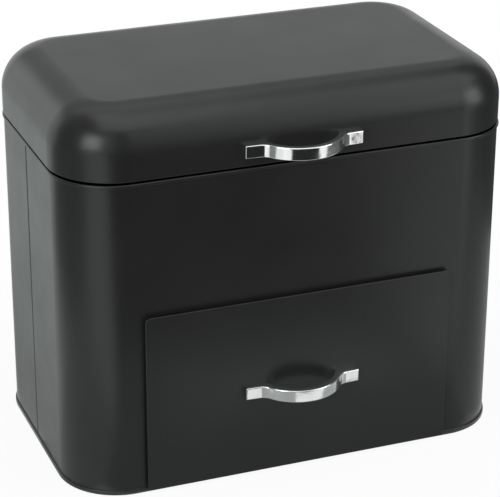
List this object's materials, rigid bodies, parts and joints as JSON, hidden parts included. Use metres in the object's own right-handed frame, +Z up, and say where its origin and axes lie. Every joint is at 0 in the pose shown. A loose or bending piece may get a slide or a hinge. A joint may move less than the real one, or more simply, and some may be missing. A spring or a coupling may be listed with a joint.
{
  "type": "bread box with drawer",
  "caption": "Black steel bread box: a domed lid hinged at the back over the bread compartment and a drawer that slides out at the front, each with a chrome bow handle.",
  "frame": {"origin": "on the table, under the middle of the whole closed box, handles and hinges included", "axes": "+Z up; +X along the front, to the right of someone facing the drawer; +Y towards the back, so the drawer opens along -Y"},
  "size_m": [0.322, 0.226, 0.2754],
  "materials": {
    "black_powder_coat": "fine satin-matte black powder coat on sheet steel",
    "black_inner_coat": "matte black coat inside the box and drawer",
    "bright_chrome": "polished chrome plate on cast zinc",
    "plated_steel": "nickel-plated steel, slightly dull",
    "black_rubber": "matte moulded rubber"
  },
  "bodies": {
    "box_body": {"body_front_shell": "black_powder_coat", "body_back_shell": "black_powder_coat", "base_pan": "black_inner_coat", "divider_shelf": "black_inner_coat", "rubber_feet": "black_rubber", "drawer_guide_left": "black_inner_coat", "drawer_guide_right": "black_inner_coat", "body_hinge_leaf_left": "plated_steel", "body_hinge_leaf_right": "plated_steel", "hinge_pin_left": "plated_steel", "hinge_pin_right": "plated_steel", "body_hinge_rivets": "plated_steel"},
    "lid": {"lid_shell": "black_powder_coat", "lid_handle": "bright_chrome", "lid_handle_washers": "plated_steel", "lid_handle_screws": "plated_steel", "lid_hinge_leaf_left": "plated_steel", "lid_hinge_leaf_right": "plated_steel", "lid_hinge_rivets": "plated_steel"},
    "drawer": {"drawer_tray": "black_inner_coat", "drawer_front_panel": "black_powder_coat", "drawer_bumpers": "black_rubber", "drawer_handle": "bright_chrome", "drawer_handle_washers": "plated_steel", "drawer_handle_screws": "plated_steel"}
  },
  "joints": [
    {"name": "lid_hinge", "type": "hinge", "parent": "box_body", "child": "lid", "pos_m": [0, 0.10734, 0.2287], "axis": [-1, 0, 0], "range_deg": [0, 100]},
    {"name": "drawer_slide", "type": "slide", "parent": "box_body", "child": "drawer", "axis": [0, -1, 0], "range_m": [0, 0.13]}
  ]
}
